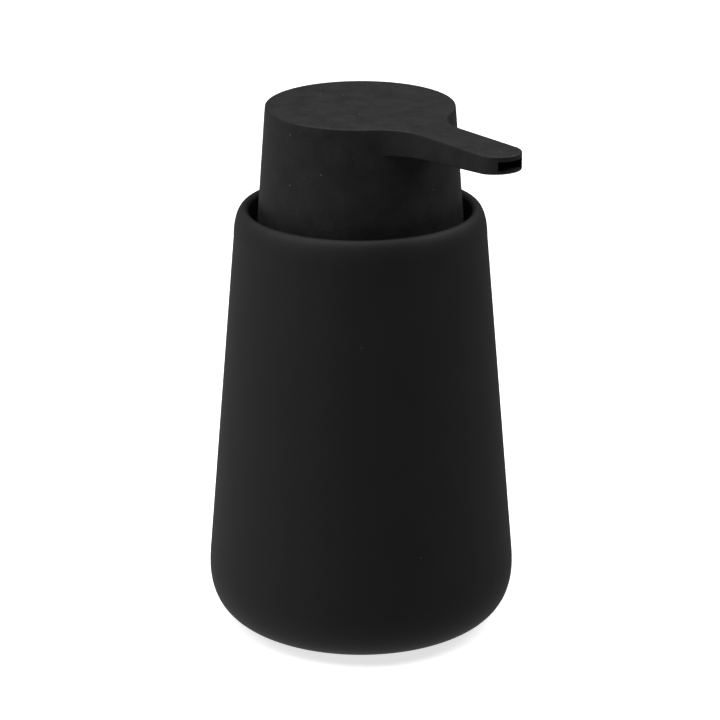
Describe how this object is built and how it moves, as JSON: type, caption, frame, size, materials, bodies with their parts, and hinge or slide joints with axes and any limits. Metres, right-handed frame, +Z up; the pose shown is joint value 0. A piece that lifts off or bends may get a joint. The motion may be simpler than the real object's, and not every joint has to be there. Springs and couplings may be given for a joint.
{
  "type": "soap pump dispenser",
  "caption": "Matte black tapered countertop bottle with a drum-shaped push head, a flat beak spout and a lift-out pump.",
  "frame": {"origin": "centre of the underside of the base pad, on the table", "axes": "+Z up along the pump's axis, +X towards the spout's tip at rest"},
  "size_m": [0.0996, 0.0798, 0.1386],
  "materials": {
    "soft_touch_black_stoneware": "matte soft-touch coat",
    "soft_touch_black_abs": "matte soft-touch coat",
    "black_plastic": "fine satin mould finish",
    "natural_plastic": "translucent natural",
    "silicone": "matte",
    "pad_rubber": "matte",
    "stainless": "bright drawn"
  },
  "bodies": {
    "bottle": {"bottle_body": "soft_touch_black_stoneware", "base_pad": "pad_rubber"},
    "pump": {"pump_plug": "black_plastic", "plug_seal_ring": "silicone", "housing_gasket": "silicone", "pump_housing": "natural_plastic", "chaplet": "natural_plastic", "closure_nut": "black_plastic", "ball_cage": "natural_plastic", "pump_spring": "stainless", "dip_tube": "natural_plastic"},
    "inlet_valve": {"inlet_ball": "stainless"},
    "plunger": {"stem": "natural_plastic", "piston_rod": "natural_plastic", "piston": "natural_plastic"},
    "head": {"head_shell": "soft_touch_black_abs", "head_core": "natural_plastic", "delivery_duct": "natural_plastic", "nozzle_insert": "black_plastic"}
  },
  "joints": [
    {"name": "pump_lift", "type": "slide", "parent": "bottle", "child": "pump", "axis": [0, 0, 1], "range_m": [0, 0.12]},
    {"name": "inlet_ball_lift", "type": "slide", "parent": "pump", "child": "inlet_valve", "axis": [0, 0, 1], "range_m": [0, 0.0014]},
    {"name": "head_press", "type": "slide", "parent": "pump", "child": "plunger", "axis": [0, 0, -1], "range_m": [0, 0.012], "stiffness_N_per_m": 800, "springref_m": -0.006, "deforming": ["pump_spring"]},
    {"name": "head_swivel", "type": "hinge", "parent": "plunger", "child": "head", "pos_m": [0, 0, 0.128], "axis": [0, 0, 1], "continuous": true}
  ]
}
